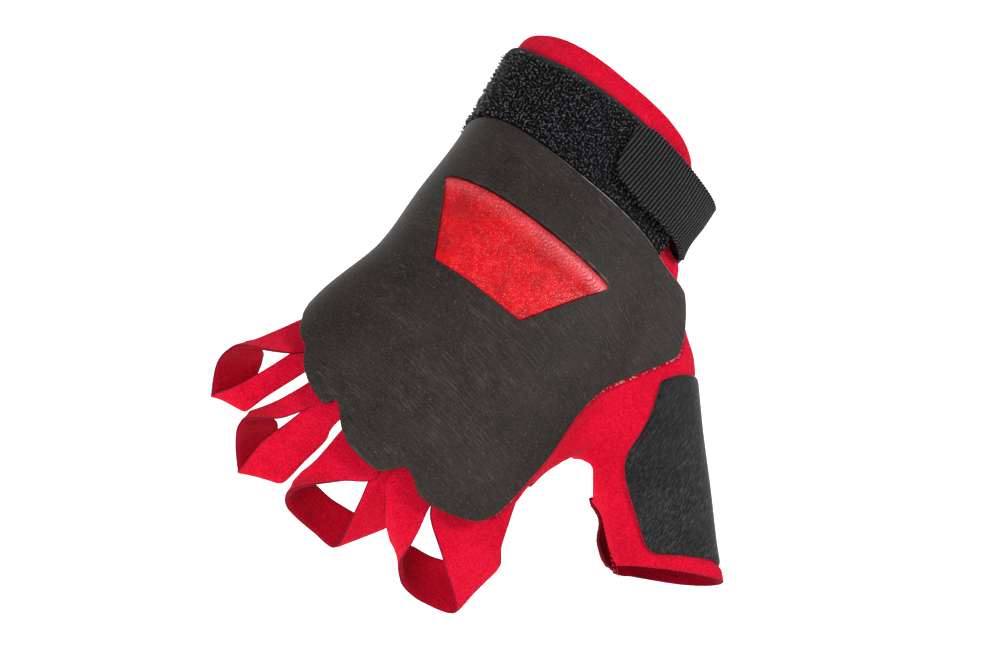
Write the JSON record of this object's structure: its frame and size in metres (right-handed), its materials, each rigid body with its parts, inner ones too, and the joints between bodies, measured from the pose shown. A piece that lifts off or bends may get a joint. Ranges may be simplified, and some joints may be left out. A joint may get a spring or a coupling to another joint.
{
  "type": "crack climbing glove",
  "caption": "Right-hand crack climbing glove: suede shell with open palm, finger loops and thumb sleeve, rubber back panel, wrist strap closing on loop tape.",
  "frame": {"origin": "middle of the wrist hollow, at the wrist edge of the rubber panel", "axes": "+Z out of the back of the hand, -Y towards the fingertips, +X towards the thumb"},
  "size_m": [0.1596, 0.1708, 0.0578],
  "materials": {
    "red_suede": "fuzzy napped microfibre suede, matt, darker inside the loops",
    "back_rubber": "matt, finely brushed and speckled",
    "glossy_leather": "smooth, glossy, finely wrinkled",
    "thumb_rubber": "satin, fine fabric-like grain",
    "loop_tape": "fuzzy pile of small loops with a flat woven selvedge",
    "strap_webbing": "ribbed across its width, slightly shiny"
  },
  "bodies": {
    "root": {"glove_body": "red_suede", "finger_loop_little": "red_suede", "finger_loop_ring": "red_suede", "finger_loop_middle": "red_suede", "finger_loop_index": "red_suede", "rubber_back_panel": "back_rubber", "window_leather": "glossy_leather", "thumb_rubber_patch": "thumb_rubber", "wrist_loop_tape": "loop_tape", "wrist_strap": "strap_webbing"}
  },
  "joints": []
}
